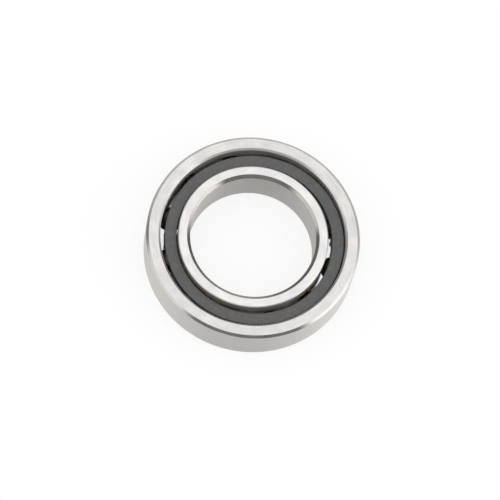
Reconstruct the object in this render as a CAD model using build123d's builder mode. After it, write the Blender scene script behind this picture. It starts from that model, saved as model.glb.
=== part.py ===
from build123d import *

import os

# An open single-row ball bearing, lying on one side face. +Z is its axis and the origin is the
# middle of its lower side. All sizes are in millimetres and all heights are above that side.

# Boundary size
bore_diameter = 40.0
outside_diameter = 68.0
width = 15.0

# Ball set
ball_count = 12
ball_diameter = 7.938
pitch_diameter = 54.0
raceway_gap = 0.02
groove_conformity = 0.525

# Ring shoulders, and the corners ground or turned on each ring
outer_shoulder_diameter = 58.9
inner_shoulder_diameter = 47.8
outside_corner = 0.85
bore_corner = 1.05
outer_shoulder_corner = 0.65
inner_shoulder_corner = 0.35
corner_round = 0.2

# Snap cage, which floats on the balls and rests to one side by nearly all of its play. The side
# is given as a turn from +X, halfway between the last ball and the first
cage_outside_diameter = 57.2
cage_inside_diameter = 49.4
cage_top_height = 12.9
cage_web_height = 8.3
pocket_play = 0.65
cage_drift = 0.6
cage_drift_turn = -15.0
claw_thickness = 1.25
claw_reach = 2.75
cage_edge_round = 0.3

ball_radius = ball_diameter / 2
pitch_radius = pitch_diameter / 2
ball_height = width / 2
groove_radius = groove_conformity * ball_diameter
pocket_radius = ball_radius + pocket_play
claw_tip_height = ball_height - claw_reach
cage_plane = Plane(Vector(cage_drift, 0, 0).rotate(Axis.Z, cage_drift_turn))


def ring_section(low_radius, high_radius, low_corner, high_corner, groove_centre):
    """Draw half of a ring's cross-section, with its corners cut and its raceway groove."""
    with BuildSketch(Plane.XZ) as section:
        with Locations(((low_radius + high_radius) / 2, width / 2)):
            Rectangle(high_radius - low_radius, width)
        chamfer(section.vertices().group_by(Axis.X)[-1], high_corner)
        chamfer(section.vertices().group_by(Axis.X)[0], low_corner)
        fillet(section.vertices(), corner_round)
        with Locations((groove_centre, ball_height)):
            Circle(groove_radius, mode=Mode.SUBTRACT)
    return section.sketch


with BuildPart() as outer_ring:
    outer_section = ring_section(
        outer_shoulder_diameter / 2,
        outside_diameter / 2,
        outer_shoulder_corner,
        outside_corner,
        pitch_radius + ball_radius + raceway_gap - groove_radius,
    )
    revolve(outer_section, axis=Axis.Z)

with BuildPart() as inner_ring:
    inner_section = ring_section(
        bore_diameter / 2,
        inner_shoulder_diameter / 2,
        bore_corner,
        inner_shoulder_corner,
        pitch_radius - ball_radius - raceway_gap + groove_radius,
    )
    revolve(inner_section, axis=Axis.Z)

# The cage's outline before it is trimmed to a ring: a flat band with a shell round each ball
with BuildPart() as cage_outline:
    with BuildSketch(cage_plane.offset(cage_web_height)):
        Circle(cage_outside_diameter)
    extrude(amount=cage_top_height - cage_web_height)
    with Locations(cage_plane.offset(ball_height)):
        with PolarLocations(pitch_radius, ball_count):
            Sphere(pocket_radius + claw_thickness)

with BuildPart() as cage:
    with BuildSketch(cage_plane.offset(claw_tip_height)):
        Circle(cage_outside_diameter / 2)
        Circle(cage_inside_diameter / 2, mode=Mode.SUBTRACT)
    extrude(amount=cage_top_height - claw_tip_height)
    fillet(cage.faces().sort_by(Axis.Z)[-1].edges(), cage_edge_round)
    add(cage_outline.part, mode=Mode.INTERSECT)
    with Locations(cage_plane.offset(ball_height)):
        with PolarLocations(pitch_radius, ball_count):
            Sphere(pocket_radius, mode=Mode.SUBTRACT)

os.makedirs("parts", exist_ok=True)

outer_ring.part.label = "outer_ring"
export_step(outer_ring.part, "parts/outer_ring.step")

inner_ring.part.label = "inner_ring"
export_step(inner_ring.part, "parts/inner_ring.step")

cage.part.label = "cage"
export_step(cage.part, "parts/cage.step")

for number in range(ball_count):
    with BuildPart() as ball:
        with Locations((0, 0, ball_height)):
            with PolarLocations(pitch_radius, 1, start_angle=number * 360 / ball_count):
                Sphere(ball_radius)
    ball.part.label = f"ball_{number + 1:02d}"
    export_step(ball.part, f"parts/{ball.part.label}.step")
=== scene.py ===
"""An open single-row ball bearing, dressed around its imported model.

Two ground steel rings, twelve steel balls and a moulded snap cage lie on a pale table, on one side
face. Every length is in metres, +Z is the bearing's axis and the lower side face is at height zero.
"""
import logging
import math
from dataclasses import dataclass
from enum import Enum
from typing import Any, ClassVar, Mapping, Optional, Sequence, Union

import bmesh
import bpy
import numpy as np
from mathutils import Matrix, Vector


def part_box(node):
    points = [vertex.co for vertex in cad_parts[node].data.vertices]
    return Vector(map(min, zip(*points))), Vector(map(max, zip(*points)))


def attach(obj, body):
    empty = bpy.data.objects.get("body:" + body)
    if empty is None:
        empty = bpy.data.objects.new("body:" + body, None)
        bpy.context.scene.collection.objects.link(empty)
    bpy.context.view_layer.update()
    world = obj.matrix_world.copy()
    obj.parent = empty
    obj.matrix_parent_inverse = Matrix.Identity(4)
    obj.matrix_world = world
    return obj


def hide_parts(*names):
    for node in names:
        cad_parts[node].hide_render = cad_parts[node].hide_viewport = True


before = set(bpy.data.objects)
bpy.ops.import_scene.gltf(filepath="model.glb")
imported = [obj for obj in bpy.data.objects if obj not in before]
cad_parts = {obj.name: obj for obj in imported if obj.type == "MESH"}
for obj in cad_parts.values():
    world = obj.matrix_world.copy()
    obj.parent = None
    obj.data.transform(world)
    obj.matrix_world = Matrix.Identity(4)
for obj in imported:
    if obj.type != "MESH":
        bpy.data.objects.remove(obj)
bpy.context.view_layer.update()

LOG = logging.getLogger("ball_bearing")
MM = 0.001

Colour = tuple[float, float, float, float]
WHITE: Colour = (1.0, 1.0, 1.0, 1.0)


# ---- Shader maths ----


class Term:
    """A number or vector that a shader works out at each point, held as an output socket.

    Python's operators on numbers add Math nodes, with their reflected forms.
    """

    def __init__(self, sheet: "NodeSheet", socket: Optional[bpy.types.NodeSocket]) -> None:
        """Wrap a socket.

        Args:
            sheet: The node tree that the socket belongs to.
            socket: The output socket that holds the value, or None after a closing node.
        """
        self.sheet = sheet
        self.socket = socket

    def _math(self, operation: str, *values: Union["Term", float]) -> "Term":
        """Add one Math node.

        Args:
            operation: The Math node's operation.
            values: Its inputs in order.

        Returns:
            The node's result.
        """
        inputs = dict(enumerate(values))
        return self.sheet.add("ShaderNodeMath", {"operation": operation}, inputs)

    def __add__(self, other: Union["Term", float]) -> "Term":
        """Return this plus another."""
        return self._math("ADD", self, other)

    __radd__ = __add__

    def __sub__(self, other: Union["Term", float]) -> "Term":
        """Return this less another."""
        return self._math("SUBTRACT", self, other)

    def __rsub__(self, other: Union["Term", float]) -> "Term":
        """Return another less this."""
        return self._math("SUBTRACT", other, self)

    def __mul__(self, other: Union["Term", float]) -> "Term":
        """Return this times another."""
        return self._math("MULTIPLY", self, other)

    __rmul__ = __mul__

    def __truediv__(self, other: Union["Term", float]) -> "Term":
        """Return this divided by another."""
        return self._math("DIVIDE", self, other)

    def __pow__(self, power: float) -> "Term":
        """Return this raised to a power."""
        return self._math("POWER", self, power)

    def __abs__(self) -> "Term":
        """Return this without its sign."""
        return self._math("ABSOLUTE", self)

    def above(self, edge: float, blur: float) -> "Term":
        """Return a mask that rises smoothly from 0 to 1 around an edge.

        Args:
            edge: The value at which the mask is one half.
            blur: The width of the rise.

        Returns:
            The mask.
        """
        inputs = {"Value": self, "From Min": edge - blur / 2, "From Max": edge + blur / 2}
        return self.sheet.add("ShaderNodeMapRange", {"interpolation_type": "SMOOTHSTEP"}, inputs)


class NodeSheet:
    """A node tree of a material or of the world, filled through one method."""

    def __init__(self, owner: Union[bpy.types.Material, bpy.types.World]) -> None:
        """Empty the owner's tree.

        Args:
            owner: The material or world whose nodes are to be made.
        """
        owner.use_nodes = True
        self.tree = owner.node_tree
        self.tree.nodes.clear()

    def add(
        self,
        kind: str,
        settings: Optional[Mapping[str, Any]] = None,
        inputs: Optional[Mapping[Union[str, int], Any]] = None,
        output: Union[str, int] = 0,
    ) -> Term:
        """Add a node.

        Args:
            kind: The node's type.
            settings: Its settings, which are set first. A ramp's are under "stops".
            inputs: A value or a term for each named or numbered input.
            output: The output to return.

        Returns:
            The chosen output as a term.
        """
        node = self.tree.nodes.new(kind)
        for name, value in (settings or {}).items():
            if name == "stops":
                self._set_stops(node.color_ramp, value)
            else:
                setattr(node, name, value)
        for key, value in (inputs or {}).items():
            if isinstance(value, Term):
                self.tree.links.new(value.socket, node.inputs[key])
            else:
                node.inputs[key].default_value = value
        if not node.outputs:
            return Term(self, None)
        return Term(self, node.outputs[output])

    @staticmethod
    def _set_stops(ramp: bpy.types.ColorRamp, stops: Sequence[tuple[float, Colour]]) -> None:
        """Give a ramp its stops.

        Args:
            ramp: The ramp, which starts with two stops.
            stops: Positions and colours, in order.
        """
        while len(ramp.elements) < len(stops):
            ramp.elements.new(0.5)
        for element, (position, colour) in zip(ramp.elements, stops):
            element.position, element.color = position, colour

    def split(self, vector: Term) -> tuple[Term, Term, Term]:
        """Return a vector's three numbers."""
        first = self.add("ShaderNodeSeparateXYZ", inputs={0: vector})
        return tuple(Term(self, socket) for socket in first.socket.node.outputs)

    def join(self, x: Any, y: Any, z: Any) -> Term:
        """Return a vector made of three numbers."""
        return self.add("ShaderNodeCombineXYZ", inputs={0: x, 1: y, 2: z})

    def blend(self, share: Union[Term, float], first: Any, second: Any) -> Term:
        """Mix two colours.

        Args:
            share: How much of the second colour there is.
            first: The colour at share 0.
            second: The colour at share 1.

        Returns:
            The mixed colour.
        """
        settings = {"data_type": "RGBA", "clamp_factor": True}
        return self.add("ShaderNodeMix", settings, {0: share, 6: first, 7: second}, output=2)

    def noise(self, vector: Term, scale: float, detail: float, roughness: float) -> Term:
        """Add smooth noise between 0 and 1.

        Args:
            vector: Where the noise is read.
            scale: Its features per unit.
            detail: How many finer octaves it has.
            roughness: How strong they are.

        Returns:
            The noise.
        """
        inputs = {"Vector": vector, "Scale": scale, "Detail": detail, "Roughness": roughness}
        return self.add("ShaderNodeTexNoise", {"noise_dimensions": "3D"}, inputs)

    def on_object(self) -> Term:
        """Return the point's place on the object, in metres."""
        return self.add("ShaderNodeTexCoord", output="Object")

    def bump(self, height: Term, depth: float, strength: float) -> Term:
        """Add a bumped normal.

        Args:
            height: The relief, from 0 to 1.
            depth: The height that 1 stands for, in metres.
            strength: How much of the relief shows.

        Returns:
            The normal.
        """
        inputs = {"Strength": strength, "Distance": depth, "Height": height}
        return self.add("ShaderNodeBump", inputs=inputs)

    def coat_with(self, kind: str, inputs: Mapping[Union[str, int], Any]) -> None:
        """Make a shader the surface of the material.

        Args:
            kind: The shader node's type.
            inputs: A value or a term for each of its sockets.
        """
        surface = self.add(kind, inputs=inputs)
        self.add("ShaderNodeOutputMaterial", inputs={"Surface": surface})


@dataclass(frozen=True)
class Mottle:
    """A pattern of noise on the object, and the mask of its higher patches.

    Attributes:
        scale: Patches per metre, or per unit of the place that it reads.
        detail: How many finer octaves it has.
        octaves: How strong they are.
        edge: The noise at a patch's edge.
        blur: How softly the mask rises there.
    """

    scale: float
    detail: float = 3.0
    octaves: float = 0.5
    edge: float = 0.5
    blur: float = 0.3

    def noise(self, sheet: NodeSheet, place: Term) -> Term:
        """Return the noise itself, around one half."""
        return sheet.noise(place, self.scale, self.detail, self.octaves)

    def patches(self, noise: Term) -> Term:
        """Return the mask of the noise's higher patches, from 0 to 1."""
        return noise.above(self.edge, self.blur)

    def mask(self, sheet: NodeSheet, place: Term) -> Term:
        """Return the mask where only the mask is wanted."""
        return self.patches(self.noise(sheet, place))


# ---- Finishes ----


@dataclass(frozen=True)
class RingZones:
    """Where a ring's corners and raceway are, so that each gets its own finish.

    Attributes:
        plain_radius: Radius at which the plain ground wall starts.
        corner_radius: Radius at which the cut corner starts.
        corner_outside: True if the wall and the corners are outside those radii.
        corner_height: Height of the corner's start from the ring's middle plane.
        race_reach: Half the height of the groove and its shoulders.
        race_radius: A radius between the groove's edge and the far side of the ring.
        middle: Height of the ring's middle plane.
    """

    plain_radius: float
    corner_radius: float
    corner_outside: bool
    corner_height: float
    race_reach: float
    race_radius: float
    middle: float


@dataclass(frozen=True)
class BearingSteel:
    """Hardened ring steel: ground faces, a plain wall, turned corners and an oiled raceway whose dark colour
    is painted shade.

    Attributes:
        name: The material's name.
        light: Colour of the ground surfaces where they are cleanest.
        dull: Colour of their faint streaks and stains.
        tinged: Colour that large faint patches of them lean to.
        wall: Colour of the plain wall, the bore or the outside; the inner ring's bore is darkened there as
            painted shade.
        turned: Colour of the corners, which were turned and not ground.
        raceway: Colour of the groove and its shoulders, darkened as painted shade for the deep gap between
            the rings.
        ground_roughness: Roughness of the ground faces.
        wall_roughness: Roughness of the plain wall.
        turned_roughness: Roughness of the corners.
        oiled_roughness: Roughness of the groove and its shoulders.
        lay_wander: How much the lay changes the roughness.
        stain_wander: How much the stains change it.
        streak_width: Breadth of the widest grinding line.
        streaks_round: How many times the lay changes along one radian.
        lay_slope: How far a step in height moves across the lay, for one in radius.
        streak_share: The streaks' part in the dull marks, the rest being stains.
        plain_share: How much of the wall's colour shows where the lay is lowest.
        lay_depth: Height of the grinding lines as bump.
        lay_strength: How much of it shows.
        oil_fill: How much of the lay the oil hides in the raceway.
        lay_spread: How much wider reflections spread across the lay than along it.
        lay_turn: The lay's direction, as a part of a full turn.
        zone_blur: Width of the border between two zones.
        lay: The pattern of the grinding lines, whose patches are the dull streaks.
        stain: The pattern of the stains.
        tinge: The pattern of the tinged patches.
    """

    name: str
    light: Colour
    dull: Colour
    tinged: Colour
    wall: Colour
    turned: Colour
    raceway: Colour
    ground_roughness: float = 0.36
    wall_roughness: float = 0.62
    turned_roughness: float = 0.16
    oiled_roughness: float = 0.54
    lay_wander: float = 0.16
    stain_wander: float = 0.08
    streak_width: float = 0.55 * MM
    streaks_round: float = 7.0
    lay_slope: float = 1.7
    streak_share: float = 0.65
    plain_share: float = 0.7
    lay_depth: float = 0.004 * MM
    lay_strength: float = 0.5
    oil_fill: float = 0.85
    lay_spread: float = 0.7
    lay_turn: float = 0.25
    zone_blur: float = 0.12 * MM
    lay: Mottle = Mottle(scale=1.0, detail=4.0, octaves=0.65, edge=0.52, blur=0.45)
    stain: Mottle = Mottle(scale=170.0, octaves=0.6, edge=0.55, blur=0.5)
    tinge: Mottle = Mottle(scale=190.0)

    def _masks(self, zones: RingZones, radius: Term, height: Term) -> tuple[Term, Term, Term]:
        """Work out where the zones are.

        Args:
            zones: Where the corners and the raceway are.
            radius: Distance from the ring's axis.
            height: Height above the table.

        Returns:
            Masks of the plain wall, the corners and the raceway.
        """
        rise = abs(height - zones.middle)
        past_corner = radius.above(zones.corner_radius, self.zone_blur)
        past_plain = radius.above(zones.plain_radius, self.zone_blur)
        past_race = radius.above(zones.race_radius, self.zone_blur)
        side = past_corner if zones.corner_outside else 1.0 - past_corner
        wall = past_plain if zones.corner_outside else 1.0 - past_plain
        near_race = 1.0 - past_race if zones.corner_outside else past_race
        corner = side * rise.above(zones.corner_height, self.zone_blur)
        race = near_race * (1.0 - rise.above(zones.race_reach, self.zone_blur))
        return wall, corner, race

    def material(self, zones: RingZones) -> bpy.types.Material:
        """Make the material.

        The lay runs round the axis: noise is read at the cosine and sine of the turn, and at the
        radius plus a share of the height, so it changes slowly round the ring and fast across it.

        Args:
            zones: Where the corners and the raceway are.

        Returns:
            The finished material.
        """
        made = bpy.data.materials.new(self.name)
        sheet = NodeSheet(made)
        place = sheet.on_object()
        x, y, z = sheet.split(place)
        radius = (x * x + y * y) ** 0.5
        wall, corner, race = self._masks(zones, radius, z)
        across = (radius + self.lay_slope * z) / self.streak_width
        turn_x, turn_y = x / radius * self.streaks_round, y / radius * self.streaks_round
        lay = self.lay.noise(sheet, sheet.join(turn_x, turn_y, across))
        stain = self.stain.noise(sheet, place)
        streaks, stains = self.lay.patches(lay), self.stain.patches(stain)
        marks = streaks * self.streak_share + stains * (1.0 - self.streak_share)
        colour = sheet.blend(self.tinge.mask(sheet, place), self.light, self.tinged)
        colour = sheet.blend(marks, colour, self.dull)
        colour = sheet.blend(wall * (self.plain_share + (1.0 - self.plain_share) * lay), colour, self.wall)
        colour = sheet.blend(corner, colour, self.turned)
        # Painted shade: the groove and its shoulders take a dark colour for the shade in the gap between the
        # rings
        colour = sheet.blend(race, colour, self.raceway)
        roughness = self.ground_roughness + (lay - 0.5) * self.lay_wander + (stain - 0.5) * self.stain_wander
        roughness = roughness + wall * (1.0 - corner) * (self.wall_roughness - self.ground_roughness)
        roughness = roughness + corner * (self.turned_roughness - self.ground_roughness)
        roughness = roughness + race * (self.oiled_roughness - self.ground_roughness)
        relief = lay * (1.0 - self.oil_fill * race)
        sheet.coat_with(
            "ShaderNodeBsdfPrincipled",
            {
                "Base Color": colour,
                "Metallic": 1.0,
                "Roughness": roughness,
                "Normal": sheet.bump(relief, self.lay_depth, self.lay_strength),
                "Anisotropic": self.lay_spread,
                "Anisotropic Rotation": self.lay_turn,
            },
        )
        return made


@dataclass(frozen=True)
class BallSteel:
    """Lapped steel of the balls under a film of oil, painted dark as shade in the gap between the rings.

    Attributes:
        name: The material's name.
        colour: Colour of the lapped surface, darkened as painted shade.
        haze: Colour where the oil film is thicker.
        roughness: Roughness where the film is thinnest.
        film_wander: How much rougher the thicker film is.
        mark_wander: How much the rolling marks change the roughness.
        mark_depth: Height of the rolling marks as bump.
        mark_strength: How much of it shows.
        film: The pattern of the thicker film.
        marks: The pattern of the rolling marks.
    """

    name: str = "lapped_ball_steel"
    # Painted shade: the balls' dark colour stands for the shade in the gap between the rings
    colour: Colour = (0.165, 0.149, 0.135, 1.0)
    haze: Colour = (0.125, 0.111, 0.099, 1.0)
    roughness: float = 0.16
    film_wander: float = 0.07
    mark_wander: float = 0.03
    mark_depth: float = 0.002 * MM
    mark_strength: float = 0.15
    film: Mottle = Mottle(scale=420.0, edge=0.55, blur=0.4)
    marks: Mottle = Mottle(scale=2600.0, detail=2.0)

    def material(self) -> bpy.types.Material:
        """Make the material, with faint patches of oil film and fine rolling marks.

        Returns:
            The finished material.
        """
        made = bpy.data.materials.new(self.name)
        sheet = NodeSheet(made)
        place = sheet.on_object()
        film = self.film.mask(sheet, place)
        marks = self.marks.noise(sheet, place)
        sheet.coat_with(
            "ShaderNodeBsdfPrincipled",
            {
                "Base Color": sheet.blend(film, self.colour, self.haze),
                "Metallic": 1.0,
                "Roughness": self.roughness + film * self.film_wander + marks * self.mark_wander,
                "Normal": sheet.bump(marks, self.mark_depth, self.mark_strength),
            },
        )
        return made


@dataclass(frozen=True)
class CagePolymer:
    """Moulded dark grey polyamide with short glass fibre, satin and slightly mottled.

    Attributes:
        name: The material's name.
        colour: Its usual colour.
        pale: Colour where fibre lies close under the skin.
        rubbed: Colour where handling has polished it darker.
        rub: How far the rubbed patches go to that colour.
        roughness: Roughness of the moulded skin.
        skin_wander: How much the skin's texture changes the roughness.
        rub_polish: How much smoother the rubbed patches are.
        fibre_share: The fibre's part in the relief, the rest being skin.
        depth: Height of the relief as bump.
        strength: How much of it shows.
        refraction: Index of refraction of the polymer.
        skin: The pattern of the mould's texture.
        fibre: The pattern of the fibre.
        patches: The pattern of the rubbed patches.
    """

    name: str = "moulded_cage_polymer"
    colour: Colour = (0.036, 0.0365, 0.0385, 1.0)
    pale: Colour = (0.052, 0.053, 0.056, 1.0)
    rubbed: Colour = (0.026, 0.026, 0.028, 1.0)
    rub: float = 0.45
    roughness: float = 0.46
    skin_wander: float = 0.22
    rub_polish: float = 0.08
    fibre_share: float = 0.3
    depth: float = 0.02 * MM
    strength: float = 0.45
    refraction: float = 1.53
    skin: Mottle = Mottle(scale=2400.0, octaves=0.6)
    fibre: Mottle = Mottle(scale=700.0, octaves=0.6, edge=0.56, blur=0.35)
    patches: Mottle = Mottle(scale=110.0, detail=2.0, edge=0.60)

    def material(self) -> bpy.types.Material:
        """Make the material: mould texture as bump, fibre mottling and rubbed patches.

        Returns:
            The finished material.
        """
        made = bpy.data.materials.new(self.name)
        sheet = NodeSheet(made)
        place = sheet.on_object()
        skin = self.skin.noise(sheet, place)
        fibre = self.fibre.mask(sheet, place)
        patches = self.patches.mask(sheet, place)
        colour = sheet.blend(fibre, self.colour, self.pale)
        relief = skin * (1.0 - self.fibre_share) + fibre * self.fibre_share
        sheet.coat_with(
            "ShaderNodeBsdfPrincipled",
            {
                "Base Color": sheet.blend(patches * self.rub, colour, self.rubbed),
                "Roughness": self.roughness + (skin - 0.5) * self.skin_wander - patches * self.rub_polish,
                "Normal": sheet.bump(relief, self.depth, self.strength),
                "IOR": self.refraction,
            },
        )
        return made


# ---- Surfaces ----

# Distance from a rounded edge to the extra point that keeps smooth shading flat beside it
SHADING_HOLD = 0.03 * MM


@dataclass(frozen=True)
class Patch:
    """A grid of points that may close on itself in either direction.

    Attributes:
        points: The grid, of shape (rows, columns, 3).
        rows_close: True if the last row joins the first.
        columns_close: True if the last column joins the first.
    """

    points: np.ndarray
    rows_close: bool = False
    columns_close: bool = False

    def quads(self) -> np.ndarray:
        """Join neighbouring points: each with its right, upper right and upper one.

        Returns:
            The corner numbers of every quad, of shape (quads, 4).
        """
        rows, columns = self.points.shape[:2]
        numbers = np.arange(rows * columns).reshape(rows, columns)
        if self.rows_close:
            numbers = np.vstack([numbers, numbers[:1]])
        if self.columns_close:
            numbers = np.hstack([numbers, numbers[:, :1]])
        corners = numbers[:-1, :-1], numbers[:-1, 1:], numbers[1:, 1:], numbers[1:, :-1]
        return np.stack([corner.ravel() for corner in corners], axis=1)


def mesh_object(name: str, patches: Sequence[Patch], merge: float = 1e-7) -> bpy.types.Object:
    """Put patches into one closed, outward-facing, smooth mesh.

    Args:
        name: The object's name.
        patches: Grids whose shared borders coincide.
        merge: Points closer than this become one.

    Returns:
        The new object, at the origin.
    """
    offsets = np.cumsum([0] + [patch.points[..., 0].size for patch in patches])
    points = np.concatenate([patch.points.reshape(-1, 3) for patch in patches])
    quads = np.concatenate([patch.quads() + offset for patch, offset in zip(patches, offsets)])
    mesh = bpy.data.meshes.new(name)
    mesh.vertices.add(len(points))
    mesh.vertices.foreach_set("co", points.astype(np.float32).ravel())
    mesh.loops.add(quads.size)
    mesh.loops.foreach_set("vertex_index", quads.astype(np.int32).ravel())
    mesh.polygons.add(len(quads))
    mesh.polygons.foreach_set("loop_start", np.arange(0, quads.size, 4, dtype=np.int32))
    mesh.update(calc_edges=True)
    work = bmesh.new()
    work.from_mesh(mesh)
    bmesh.ops.remove_doubles(work, verts=work.verts, dist=merge)
    bmesh.ops.dissolve_degenerate(work, edges=work.edges, dist=merge)
    bmesh.ops.recalc_face_normals(work, faces=work.faces)
    work.to_mesh(mesh)
    work.free()
    mesh.polygons.foreach_set("use_smooth", np.ones(len(mesh.polygons), dtype=bool))
    mesh.update()
    piece = bpy.data.objects.new(name, mesh)
    bpy.context.scene.collection.objects.link(piece)
    return piece


def rounded_loop(
    corners: np.ndarray,
    radii: np.ndarray,
    steps: int = 5,
    hold: float = SHADING_HOLD,
) -> np.ndarray:
    """Round the corners of a closed outline.

    An arc of radius r at a turn of t starts and ends r tan(|t| / 2) from its corner. One more point
    lies a little way along each side, so that smooth shading stays flat there. A corner of no
    radius stays one point.

    Args:
        corners: Corner points in order, of shape (count, 2).
        radii: The arc's radius at each corner.
        steps: Points on each arc, less one.
        hold: Distance from an arc's end to its extra point.

    Returns:
        The outline's points, of shape (points, 2).
    """
    leave = np.roll(corners, -1, 0) - corners
    leave /= np.linalg.norm(leave, axis=1, keepdims=True)
    arrive = np.roll(leave, 1, 0)
    turn = np.arctan2(arrive[:, 0] * leave[:, 1] - arrive[:, 1] * leave[:, 0], (arrive * leave).sum(1))
    setback = (radii * np.tan(abs(turn) / 2))[:, None]
    inward = np.sign(turn)[:, None] * np.stack([-arrive[:, 1], arrive[:, 0]], axis=1)
    start = -inward * radii[:, None]
    across = np.stack([-start[:, 1], start[:, 0]], axis=1)
    centre = corners - arrive * setback - start
    angles = (turn[:, None] * np.linspace(0, 1, steps + 1))[..., None]
    arcs = centre[:, None] + start[:, None] * np.cos(angles) + across[:, None] * np.sin(angles)
    rounded = radii > 0
    held = setback + hold * rounded[:, None]
    first, last = corners - arrive * held, corners + leave * held
    points = np.concatenate([first[:, None], arcs, last[:, None]], axis=1)
    kept = np.repeat(rounded[:, None], points.shape[1], axis=1)
    kept[:, 0] = True
    return points[kept]


def lathe(section: np.ndarray, segments: int) -> Patch:
    """Carry a closed section round the Z axis.

    A point at radius r and height z goes to (r cos t, r sin t, z) for evenly spaced turns t.

    Args:
        section: Radii and heights, of shape (points, 2).
        segments: How many turns.

    Returns:
        The closed surface.
    """
    turns = np.linspace(0, 2 * math.pi, segments, endpoint=False)[:, None]
    radius, height = section[:, 0], section[:, 1]
    points = np.stack([radius * np.cos(turns), radius * np.sin(turns), height + 0 * turns], axis=-1)
    return Patch(points, rows_close=True, columns_close=True)


# ---- Sub-assemblies ----


class Face(Enum):
    """Which side of a ring carries the raceway."""

    INWARD = 1
    OUTWARD = -1


@dataclass(frozen=True)
class RaceRing:
    """A bearing ring with one raceway groove.

    Attributes:
        name: The piece's name.
        node: The CAD node that it stands for, which is also its body.
        steel: Its finish.
        groove_side: Which way the groove looks.
        plain_radius: Radius of the ground bore or outside surface.
        shoulder_radius: Radius of the shoulders beside the groove.
        plain_corner: Size of the cut corners on the plain side.
        shoulder_corner: Size of the cut corners on the shoulders.
        groove_radius: Radius of the groove's section.
        groove_centre: Radius on which that section is centred.
        width: Height of the ring.
        corner_round: Radius that eases every cut corner's edges.
        groove_edge_round: Radius of the edges between the groove and its shoulders.
        groove_steps: Points along the groove's arc.
        segments: Facets round the ring.
    """

    name: str
    node: str
    steel: BearingSteel
    groove_side: Face
    plain_radius: float
    shoulder_radius: float
    plain_corner: float
    shoulder_corner: float
    groove_radius: float
    groove_centre: float
    width: float
    corner_round: float = 0.2 * MM
    groove_edge_round: float = 0.08 * MM
    groove_steps: int = 26
    segments: int = 300

    # A round on a shoulder's corner takes at most this part of the corner
    EASE_SHARE: ClassVar[float] = 0.6
    # How far before the geometry's edge the finish of the wall and of a corner starts
    WALL_MARGIN: ClassVar[float] = 0.1 * MM
    CORNER_MARGIN: ClassVar[float] = 0.02 * MM

    def section(self) -> np.ndarray:
        """Draw the section: two faces, four cut corners and the groove.

        The groove is an arc about its centre, from one shoulder to the other: at an angle a it has
        the radius centre plus or minus groove radius times cos a, and the height middle plus
        groove radius times sin a.

        Returns:
            Radii and heights round the closed outline, of shape (points, 2).
        """
        side = self.groove_side.value
        plain, shoulder, top = self.plain_radius, self.shoulder_radius, self.width
        cut, ease = self.plain_corner, self.shoulder_corner
        reach = math.acos((shoulder - self.groove_centre) * side / self.groove_radius)
        sweep = np.linspace(-reach, reach, self.groove_steps)
        groove_r = self.groove_centre + side * self.groove_radius * np.cos(sweep)
        groove = np.stack([groove_r, top / 2 + self.groove_radius * np.sin(sweep)], axis=1)
        low = [(shoulder + side * ease, 0), (shoulder, ease)]
        high = [(shoulder, top - ease), (shoulder + side * ease, top)]
        back = [(plain - side * cut, top), (plain, top - cut), (plain, cut), (plain - side * cut, 0)]
        ease_round = min(self.corner_round, self.EASE_SHARE * ease)
        groove_rounds = np.zeros(len(groove))
        groove_rounds[[0, -1]] = self.groove_edge_round
        ease_rounds, cut_rounds = np.full(2, ease_round), np.full(4, self.corner_round)
        radii = np.concatenate([ease_rounds, groove_rounds, ease_rounds, cut_rounds])
        return rounded_loop(np.vstack([low, groove, high, back]), radii)

    def zones(self) -> RingZones:
        """Work out where the plain wall, the corners and the raceway start.

        Returns:
            The zones for the ring's finish.
        """
        side = self.groove_side.value
        corner = self.plain_corner + self.CORNER_MARGIN
        return RingZones(
            plain_radius=self.plain_radius - side * self.WALL_MARGIN,
            corner_radius=self.plain_radius - side * corner,
            corner_outside=side > 0,
            corner_height=self.width / 2 - corner,
            race_reach=self.width / 2 - self.shoulder_corner,
            race_radius=(self.shoulder_radius + self.plain_radius) / 2,
            middle=self.width / 2,
        )

    def build(self) -> list[bpy.types.Object]:
        """Make the ring, dress it and let it ride on its body.

        Returns:
            The one piece.
        """
        piece = mesh_object(self.name, [lathe(self.section(), self.segments)])
        piece.data.materials.append(self.steel.material(self.zones()))
        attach(piece, self.node)
        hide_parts(self.node)
        return [piece]


@dataclass(frozen=True)
class BallSet:
    """The balls, evenly spaced on the pitch circle.

    Attributes:
        count: How many balls.
        diameter: Diameter of each.
        pitch_radius: Radius of the circle of their centres.
        height: Height of their centres.
        steel: Their finish.
        rows: Steps from pole to pole.
        columns: Steps round each ball.
    """

    count: int
    diameter: float
    pitch_radius: float
    height: float
    steel: BallSteel
    rows: int = 32
    columns: int = 64

    def _ball(self, number: int) -> Patch:
        """Make one ball's surface.

        A point at polar angle p and turn t is the centre plus the ball's radius times
        (sin p cos t, sin p sin t, cos p).

        Args:
            number: Which ball, from 0.

        Returns:
            The surface, whose poles are single points once its doubles are merged.
        """
        place = 2 * math.pi * number / self.count
        polar = np.linspace(0, math.pi, self.rows + 1)[:, None]
        turn = np.linspace(0, 2 * math.pi, self.columns, endpoint=False)
        across = np.sin(polar)
        shape = np.stack([across * np.cos(turn), across * np.sin(turn), np.cos(polar) + 0 * turn], axis=-1)
        centre = [self.pitch_radius * math.cos(place), self.pitch_radius * math.sin(place), self.height]
        return Patch(np.array(centre) + self.diameter / 2 * shape, columns_close=True)

    def build(self) -> list[bpy.types.Object]:
        """Make every ball, each riding on its own body.

        Returns:
            The pieces, in order round the circle.
        """
        material = self.steel.material()
        pieces = []
        for number in range(self.count):
            node = f"ball_{number + 1:02d}"
            piece = mesh_object(f"lapped_{node}", [self._ball(number)])
            piece.data.materials.append(material)
            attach(piece, node)
            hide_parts(node)
            pieces.append(piece)
        return pieces


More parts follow.
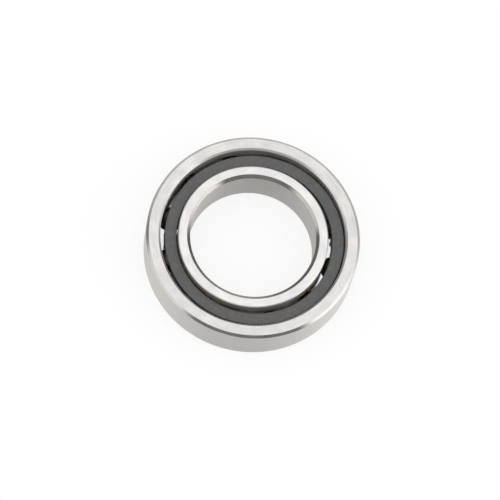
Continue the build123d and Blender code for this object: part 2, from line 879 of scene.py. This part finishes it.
@dataclass(frozen=True)
class SnapCage:
    """The moulded cage: a ring whose claws snap over the balls from above.

    Around one ball, a point of the cage at radius r is placed by two lengths: its chord, which is
    twice the square root of (pitch radius times r) times the sine of half its turn from the ball,
    and its height above the ball's centre. In those lengths a sphere about the ball's centre is a
    circle at every r, of radius the square root of (sphere radius squared less (r less pitch
    radius) squared), so each outline below is drawn with circles and lines alone.

    Attributes:
        finish: Its material.
        count: How many pockets.
        pitch_radius: Radius of the circle of the pockets' centres.
        ball_height: Height of those centres.
        drift: How far the cage has slipped along X and Y within its play.
        inner_radius: Radius of its inner wall.
        outer_radius: Radius of its outer wall.
        top: Height of its top face.
        web: Height of the underside between two pockets.
        pocket: Radius of a pocket's sphere.
        claw: Thickness of a claw.
        tip_reach: How far below the balls' centres the claws reach.
        root_round: Radius of the fillet where a claw leaves the underside.
        top_round: Radius of the top face's two edges.
        edge_round: Radius of every other edge.
        web_steps: Steps along half a web's underside.
        root_steps: Steps round the fillet.
        claw_steps: Steps along a claw's outer arc.
        tip_steps: Steps round half of a claw's tip.
        side_steps: Steps up the edge between two sectors.
        top_steps: Steps along half a sector's top.
        across_steps: Steps from the inner wall to the outer one, between the rounded edges.
        edge_steps: Steps round each of those edges.
        top_across_steps: Steps across the top face.
        top_edge_steps: Steps round each of its edges.
    """

    finish: CagePolymer
    count: int
    pitch_radius: float
    ball_height: float
    drift: np.ndarray
    inner_radius: float
    outer_radius: float
    top: float
    web: float
    pocket: float
    claw: float
    tip_reach: float
    root_round: float = 0.6 * MM
    top_round: float = 0.3 * MM
    edge_round: float = 0.2 * MM
    web_steps: int = 3
    root_steps: int = 6
    claw_steps: int = 9
    tip_steps: int = 5
    side_steps: int = 6
    top_steps: int = 12
    across_steps: int = 8
    edge_steps: int = 5
    top_across_steps: int = 4
    top_edge_steps: int = 6

    # Points of two patches closer than this are one
    SEAM_MERGE: ClassVar[float] = 0.002 * MM
    # Where a wall's rows lie between the pocket and the sector's edge, closest beside both
    WALL_SHARES: ClassVar[tuple[float, ...]] = (0.0, 0.04, 0.2, 0.5, 0.8, 0.96, 1.0)

    def _outline(self, radius: np.ndarray) -> np.ndarray:
        """Draw half of a sector's lower outline at each radius.

        It starts at the middle of the web's underside, follows the fillet and the claw's outer
        arc, goes round the claw's tip in a half circle, and follows the pocket up to its crown.

        Args:
            radius: Distances from the cage's axis, of shape (rows, 1).

        Returns:
            Chords and heights, of shape (rows, points, 2).
        """
        offset = radius - self.pitch_radius
        pocket = np.sqrt(self.pocket**2 - offset**2)
        claw = np.sqrt((self.pocket + self.claw) ** 2 - offset**2)
        half, middle = (claw - pocket) / 2, (claw + pocket) / 2
        under = self.web - self.ball_height
        edge = self._chord(radius, math.pi / self.count)
        root_h = under - self.root_round
        root_x = np.sqrt((claw + self.root_round) ** 2 - root_h**2)
        web_x = edge + (root_x - edge) * np.linspace(0, 1, self.web_steps + 1)
        claw_start = np.arctan2(root_x, root_h)
        root_turn = (claw_start - math.pi) * np.linspace(0, 1, self.root_steps + 1)[1:]
        tip = np.arccos((half - self.tip_reach) / middle)
        claw_turn = claw_start + (tip - claw_start) * np.linspace(0, 1, self.claw_steps + 1)[1:]
        cap_turn = tip + np.linspace(0, math.pi, 2 * self.tip_steps + 1)[1:]
        cap_x = middle * np.sin(tip) + half * np.sin(cap_turn)
        cap_h = middle * np.cos(tip) + half * np.cos(cap_turn)
        pocket_steps = self.claw_steps + self.root_steps + self.web_steps + self.side_steps + self.top_steps
        pocket_turn = tip * np.linspace(1, 0, pocket_steps + 1)[1:]
        stretches = [
            (web_x, under + 0 * web_x),
            (root_x + self.root_round * np.sin(root_turn), root_h + self.root_round * np.cos(root_turn)),
            (claw * np.sin(claw_turn), claw * np.cos(claw_turn)),
            (cap_x, cap_h),
            (pocket * np.sin(pocket_turn), pocket * np.cos(pocket_turn)),
        ]
        chords = np.concatenate([chord + 0 * radius for chord, _ in stretches], axis=1)
        heights = np.concatenate([height + 0 * radius for _, height in stretches], axis=1)
        return np.stack([chords, heights], axis=-1)

    def _pocket_spacing(self, steps: int) -> np.ndarray:
        """Return the shares of the pocket's arc at which its points lie, from tip to crown."""
        return np.linspace(1, 0, steps + 1)[1:]

    def _chord(self, radius: np.ndarray, turn: Union[float, np.ndarray]) -> np.ndarray:
        """Return the chord of a point at this radius, turned this far from the ball."""
        return 2 * np.sqrt(self.pitch_radius * radius) * np.sin(turn / 2)

    def _inset(self, outline: np.ndarray, depth: np.ndarray) -> np.ndarray:
        """Move an outline into the cage's material, square to itself.

        Args:
            outline: Chords and heights, of shape (rows, points, 2).
            depth: How far each row moves, of shape (rows, 1).

        Returns:
            The moved outline.
        """
        mirrored = outline[:, -2::-1] * [-1, 1]
        before = np.concatenate([outline[:, :1] + [self.edge_round, 0], outline[:, :-1]], axis=1)
        after = np.concatenate([outline[:, 1:], mirrored[:, :1]], axis=1)
        first = outline - before
        second = after - outline
        first /= np.linalg.norm(first, axis=-1, keepdims=True)
        second /= np.linalg.norm(second, axis=-1, keepdims=True)
        along = first + second
        along /= np.linalg.norm(along, axis=-1, keepdims=True)
        into = np.stack([along[..., 1], -along[..., 0]], axis=-1)
        return outline + into * depth[..., None]

    def _place(self, radius: np.ndarray, outline: np.ndarray, side: int, ball_turn: float) -> np.ndarray:
        """Turn chords and heights at given radii into points.

        Args:
            radius: Distances from the cage's axis, of shape (rows, 1).
            outline: Chords and heights, of shape (rows, points, 2).
            side: 1 for the half sector after the ball, -1 for the half before it.
            ball_turn: The ball's turn about the axis.

        Returns:
            Points of shape (rows, points, 3).
        """
        share = outline[..., 0] / (2 * np.sqrt(self.pitch_radius * radius))
        turn = ball_turn + side * 2 * np.arcsin(share)
        height = self.ball_height + outline[..., 1]
        x, y = self.drift[0] + radius * np.cos(turn), self.drift[1] + radius * np.sin(turn)
        return np.stack([x, y, height], axis=-1)

    def _under(self, side: int, ball_turn: float) -> Patch:
        """Make the underside of half a sector: web, claw and pocket, with both edges rounded.

        Across the cage the radius runs round a quarter circle at each wall, while the outline
        moves into the material by the rest of that quarter circle.

        Args:
            side: 1 or -1, as in _place.
            ball_turn: The ball's turn about the axis.

        Returns:
            The underside's surface.
        """
        bend = np.linspace(0, math.pi / 2, self.edge_steps + 1)[:, None]
        sink = self.edge_round * (1 - np.sin(bend))
        start, end = self.inner_radius + self.edge_round, self.outer_radius - self.edge_round
        inner = start - self.edge_round * np.cos(bend)
        outer = end + self.edge_round * np.cos(bend[::-1])
        middle = self._between(start, end, self.across_steps)[:, None]
        radius = np.concatenate([inner, middle, outer])
        depth = np.concatenate([sink, 0 * middle, sink[::-1]])
        return Patch(self._place(radius, self._inset(self._outline(radius), depth), side, ball_turn))

    @staticmethod
    def _between(start: float, end: float, steps: int) -> np.ndarray:
        """Space points between two rounded edges, with one close beside each edge.

        Args:
            start: Where the first edge ends.
            end: Where the second edge starts.
            steps: Even steps between them.

        Returns:
            The points, without start and end.
        """
        even = np.linspace(start, end, steps + 1)[1:-1]
        return np.concatenate([[start + SHADING_HOLD], even, [end - SHADING_HOLD]])

    def _wall(self, radius_value: float, side: int, ball_turn: float) -> Patch:
        """Make one wall of half a sector.

        The pocket's side of the outline, from the claw's tip to the crown, is joined by straight
        lines to the other side: from the tip round the claw to the web, up the sector's edge and
        along the top to the middle.

        Args:
            radius_value: The wall's radius.
            side: 1 or -1, as in _place.
            ball_turn: The ball's turn about the axis.

        Returns:
            The wall's surface.
        """
        radius = np.array([[radius_value]])
        outline = self._inset(self._outline(radius), np.array([[self.edge_round]]))[0]
        lower = self.web_steps + self.root_steps + self.claw_steps + self.tip_steps
        far, near = outline[: lower + 1][::-1], outline[lower:]
        ceiling = self.top - self.top_round - self.ball_height
        sector_edge = self._chord(radius, math.pi / self.count)[0, 0]
        floor = far[-1, 1]
        up = floor + (ceiling - floor) * np.linspace(0, 1, self.side_steps + 1)[1:]
        turns = math.pi / self.count * np.linspace(1, 0, self.top_steps + 1)[1:]
        along = self._chord(radius, turns)[0]
        rise = np.stack([sector_edge + 0 * up, up], axis=1)
        back = np.stack([along, ceiling + 0 * along], axis=1)
        far = np.concatenate([far, rise, back])
        grid = near + (far - near) * np.array(self.WALL_SHARES)[:, None, None]
        return Patch(self._place(radius, grid, side, ball_turn))

    def _top(self) -> Patch:
        """Make the top face and its two rounded edges, carried round the axis.

        Returns:
            The top's surface, whose rim points meet those of the walls.
        """
        bend = np.linspace(0, math.pi / 2, self.top_edge_steps + 1)
        round_in = self.top_round * (1 - np.cos(bend))
        round_up = self.top_round * (np.sin(bend) - 1)
        start, end = self.inner_radius + self.top_round, self.outer_radius - self.top_round
        flat = self._between(start, end, self.top_across_steps)
        radius = np.concatenate([self.inner_radius + round_in, flat, self.outer_radius - round_in[::-1]])
        height = np.concatenate([self.top + round_up, self.top + 0 * flat, self.top + round_up[::-1]])
        steps = 2 * self.count * self.top_steps
        turn = np.linspace(0, 2 * math.pi, steps, endpoint=False)[:, None]
        x, y = self.drift[0] + radius * np.cos(turn), self.drift[1] + radius * np.sin(turn)
        return Patch(np.stack([x, y, height + 0 * turn], axis=-1), rows_close=True)

    def build(self) -> list[bpy.types.Object]:
        """Make the cage, dress it and let it ride on its body.

        Returns:
            The one piece.
        """
        patches = [self._top()]
        for number in range(self.count):
            ball_turn = 2 * math.pi * number / self.count
            for side in (1, -1):
                patches.append(self._under(side, ball_turn))
                patches.append(self._wall(self.inner_radius, side, ball_turn))
                patches.append(self._wall(self.outer_radius, side, ball_turn))
        piece = mesh_object("moulded_cage", patches, merge=self.SEAM_MERGE)
        piece.data.materials.append(self.finish.material())
        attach(piece, "cage")
        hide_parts("cage")
        return [piece]


# ---- Studio ----


@dataclass(frozen=True)
class SoftPanel:
    """A soft patch of light or shade in the room around the table.

    Attributes:
        azimuth: Its direction seen from above, in degrees from +X towards +Y.
        elevation: Its height above the horizon, in degrees.
        spread: Angle from its middle to its edge, in degrees.
        blur: Width of its soft edge, in degrees.
        radiance: What it adds to the room's light, which may be less than 0.
    """

    azimuth: float
    elevation: float
    spread: float
    blur: float
    radiance: float

    def direction(self) -> tuple[float, float, float]:
        """Work out the way to its middle.

        Returns:
            A unit vector.
        """
        turn, rise = math.radians(self.azimuth), math.radians(self.elevation)
        flat = math.cos(rise)
        return flat * math.cos(turn), flat * math.sin(turn), math.sin(rise)


@dataclass(frozen=True)
class Studio:
    """A pale table, a broad overhead light and the camera.

    Attributes:
        table_colour: Colour of the table.
        table_reach: Half its side.
        glow: Radiance of the light that shines up through it.
        horizon: Radiance of the room near the horizon.
        overhead: Radiance of the broad light overhead.
        light_edge: Sine of the elevation at which that light is half as bright.
        light_blur: How softly it starts, in the same measure.
        seen: Radiance of the backdrop where the camera looks past the table.
        panels: Softer lights and shades near the horizon.
        azimuth: The camera's turn from -Y towards +X, in degrees.
        elevation: The camera's height above the table, in degrees.
        roll: How far the camera is turned clockwise about its own axis, in degrees.
        distance: From the camera to the point that it looks at.
        aim: That point.
        lens: The camera's focal length in millimetres.
        grain: The pattern of the table's paper grain.
        grain_shade: Its darkest part over the table's colour.
    """

    table_colour: Colour
    table_reach: float
    glow: float
    horizon: float
    overhead: float
    seen: float
    panels: tuple[SoftPanel, ...]
    azimuth: float
    elevation: float
    roll: float
    distance: float
    aim: tuple[float, float, float]
    lens: float
    light_edge: float = 0.50
    light_blur: float = 0.44
    grain: Mottle = Mottle(scale=300.0)
    grain_shade: float = 0.985

    # The table lies this far under the bearing, so that their faces don't share a plane
    TABLE_DROP: ClassVar[float] = 0.02 * MM
    # The room's light is very slightly warm
    ROOM_TINT: ClassVar[Colour] = (1.0, 0.995, 0.985, 1.0)
    # The camera's sensor width in millimetres, and how near and how far it sees
    SENSOR_WIDTH: ClassVar[float] = 36.0
    NEAREST_SEEN: ClassVar[float] = 0.05
    FARTHEST_SEEN: ClassVar[float] = 20.0

    def table(self) -> bpy.types.Object:
        """Make the table, a matte sheet with a barely visible paper grain and light from below.

        Returns:
            The table.
        """
        reach = np.linspace(-self.table_reach, self.table_reach, 9)
        x, y = np.meshgrid(reach, reach)
        table = mesh_object("table", [Patch(np.stack([x, y, 0 * x - self.TABLE_DROP], axis=-1))])
        material = bpy.data.materials.new("pale_table")
        sheet = NodeSheet(material)
        grain = self.grain.noise(sheet, sheet.on_object())
        shade = tuple(self.grain_shade * channel for channel in self.table_colour[:3]) + (1.0,)
        colour = sheet.blend(grain, self.table_colour, shade)
        matte = sheet.add("ShaderNodeBsdfDiffuse", inputs={"Color": colour, "Roughness": 1.0})
        glow = sheet.add("ShaderNodeEmission", inputs={"Color": WHITE, "Strength": self.glow})
        sheet.coat_with("ShaderNodeAddShader", {0: matte, 1: glow})
        table.data.materials.append(material)
        return table

    def room(self) -> bpy.types.World:
        """Light the room: dim near the horizon, bright overhead, with panels between.

        A panel's mask rises with the cosine of the angle from its middle, which is the dot product
        of its direction and the light's.

        Returns:
            The world.
        """
        world = bpy.data.worlds.new("soft_room")
        sheet = NodeSheet(world)
        toward = sheet.add("ShaderNodeTexCoord", output="Generated")
        height = sheet.split(toward)[2]
        from_above = height.above(self.light_edge, self.light_blur)
        light = self.horizon + from_above * (self.overhead - self.horizon)
        for panel in self.panels:
            both_ways = {0: toward, 1: panel.direction()}
            cosine = sheet.add("ShaderNodeVectorMath", {"operation": "DOT_PRODUCT"}, both_ways, "Value")
            inner = math.cos(math.radians(max(panel.spread - panel.blur / 2, 0)))
            outer = math.cos(math.radians(panel.spread + panel.blur / 2))
            light = light + cosine.above((inner + outer) / 2, inner - outer) * panel.radiance
        room_light = sheet.add("ShaderNodeBackground", inputs={"Color": self.ROOM_TINT, "Strength": light})
        backdrop = sheet.add("ShaderNodeBackground", inputs={"Color": WHITE, "Strength": self.seen})
        direct = sheet.add("ShaderNodeLightPath", output="Is Camera Ray")
        both = sheet.add("ShaderNodeMixShader", inputs={0: direct, 1: room_light, 2: backdrop})
        sheet.add("ShaderNodeOutputWorld", inputs={"Surface": both})
        bpy.context.scene.world = world
        return world

    def camera(self) -> bpy.types.Object:
        """Set up the camera on a ray from the aim point, upright and then rolled.

        Returns:
            The camera.
        """
        turn, rise = math.radians(self.azimuth), math.radians(self.elevation)
        flat = math.cos(rise)
        back = Vector((math.sin(turn) * flat, -math.cos(turn) * flat, math.sin(rise)))
        right = Vector((math.cos(turn), math.sin(turn), 0.0))
        up = back.cross(right)
        upright = Matrix((right, up, back)).transposed().to_4x4()
        place = Matrix.Translation(Vector(self.aim) + back * self.distance)
        data = bpy.data.cameras.new("studio_camera")
        data.sensor_width, data.lens = self.SENSOR_WIDTH, self.lens
        data.clip_start, data.clip_end = self.NEAREST_SEEN, self.FARTHEST_SEEN
        camera = bpy.data.objects.new("studio_camera", data)
        camera.matrix_world = place @ upright @ Matrix.Rotation(math.radians(self.roll), 4, "Z")
        bpy.context.scene.collection.objects.link(camera)
        bpy.context.scene.camera = camera
        return camera

    def build(self) -> None:
        """Set up the table, the room's light and the camera."""
        self.table()
        self.room()
        self.camera()
        bpy.context.scene.view_settings.view_transform = "Standard"


# ---- The bearing ----

OUTER_STEEL = BearingSteel(
    name="ground_outer_ring_steel",
    light=(0.520, 0.505, 0.494, 1.0),
    dull=(0.405, 0.397, 0.392, 1.0),
    tinged=(0.452, 0.446, 0.460, 1.0),
    wall=(0.505, 0.493, 0.482, 1.0),
    turned=(0.42, 0.405, 0.39, 1.0),
    # Painted shade: the dark raceway colour stands for the shade in the gap between the rings
    raceway=(0.27, 0.255, 0.232, 1.0),
)
INNER_STEEL = BearingSteel(
    name="ground_inner_ring_steel",
    light=(0.570, 0.556, 0.545, 1.0),
    dull=(0.455, 0.448, 0.443, 1.0),
    tinged=(0.497, 0.491, 0.505, 1.0),
    # Painted shade: the bore's wall is darker than the faces, for the shade inside the bore
    wall=(0.41, 0.40, 0.39, 1.0),
    turned=(0.34, 0.325, 0.305, 1.0),
    # Painted shade: the dark raceway colour stands for the shade in the gap between the rings
    raceway=(0.25, 0.228, 0.196, 1.0),
)


@dataclass(frozen=True)
class Bearing:
    """The whole bearing, from its few driving sizes.

    Attributes:
        ball_count: How many balls.
        ball_diameter: Diameter of a ball.
        pitch_radius: Radius of the circle of the balls' centres.
        conformity: A groove's radius over the ball's diameter.
        race_gap: Clearance between a ball and each groove.
        pocket_play: How much larger than a ball's a pocket's radius is.
        cage_drift: How far the cage has slipped sideways within that play.
        cage_drift_turn: The direction of that, in degrees from +X towards +Y.
    """

    ball_count: int = 12
    ball_diameter: float = 7.938 * MM
    pitch_radius: float = 27.0 * MM
    conformity: float = 0.525
    race_gap: float = 0.02 * MM
    pocket_play: float = 0.65 * MM
    cage_drift: float = 0.6 * MM
    cage_drift_turn: float = -15.0

    def parts(self) -> list[Union[RaceRing, SnapCage, BallSet]]:
        """Set out the sub-assemblies.

        Returns:
            The two rings, the cage and the balls, in the order in which they are made.
        """
        outer_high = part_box("outer_ring")[1]
        inner_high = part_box("inner_ring")[1]
        width = outer_high.z
        groove = self.conformity * self.ball_diameter
        to_race = self.ball_diameter / 2 + self.race_gap - groove
        outer = RaceRing(
            name="ground_outer_ring",
            node="outer_ring",
            steel=OUTER_STEEL,
            groove_side=Face.INWARD,
            plain_radius=outer_high.x,
            shoulder_radius=29.45 * MM,
            plain_corner=0.85 * MM,
            shoulder_corner=0.65 * MM,
            groove_radius=groove,
            groove_centre=self.pitch_radius + to_race,
            width=width,
        )
        inner = RaceRing(
            name="ground_inner_ring",
            node="inner_ring",
            steel=INNER_STEEL,
            groove_side=Face.OUTWARD,
            plain_radius=20.0 * MM,
            shoulder_radius=inner_high.x,
            plain_corner=1.05 * MM,
            shoulder_corner=0.35 * MM,
            groove_radius=groove,
            groove_centre=self.pitch_radius - to_race,
            width=width,
        )
        balls = BallSet(
            count=self.ball_count,
            diameter=self.ball_diameter,
            pitch_radius=self.pitch_radius,
            height=width / 2,
            steel=BallSteel(),
        )
        drift_turn = math.radians(self.cage_drift_turn)
        cage = SnapCage(
            finish=CagePolymer(),
            count=self.ball_count,
            pitch_radius=self.pitch_radius,
            ball_height=width / 2,
            drift=self.cage_drift * np.array([math.cos(drift_turn), math.sin(drift_turn)]),
            inner_radius=24.7 * MM,
            outer_radius=28.6 * MM,
            top=12.9 * MM,
            web=8.3 * MM,
            pocket=self.ball_diameter / 2 + self.pocket_play,
            claw=1.25 * MM,
            tip_reach=2.75 * MM,
        )
        return [outer, inner, cage, balls]


STUDIO = Studio(
    table_colour=(0.15, 0.15, 0.15, 1.0),
    table_reach=3.0,
    glow=0.825,
    horizon=0.30,
    overhead=1.80,
    seen=0.97,
    panels=(
        SoftPanel(azimuth=3.0, elevation=6.0, spread=31.0, blur=16.0, radiance=2.1),
        SoftPanel(azimuth=211.0, elevation=14.0, spread=26.0, blur=18.0, radiance=1.25),
        SoftPanel(azimuth=276.0, elevation=18.0, spread=34.0, blur=20.0, radiance=-0.10),
    ),
    azimuth=3.234,
    elevation=69.093,
    roll=13.935,
    distance=1.1202,
    aim=(0.272 * MM, -4.874 * MM, 15.0 * MM),
    lens=255.4,
)


def main() -> None:
    """Build the bearing and report its pieces, then build the studio around it."""
    logging.basicConfig(level=logging.INFO, format="%(name)s: %(message)s")
    for part in Bearing().parts():
        for piece in part.build():
            LOG.info("%s: %d faces", piece.name, len(piece.data.polygons))
    STUDIO.build()


if __name__ == "__main__":
    main()
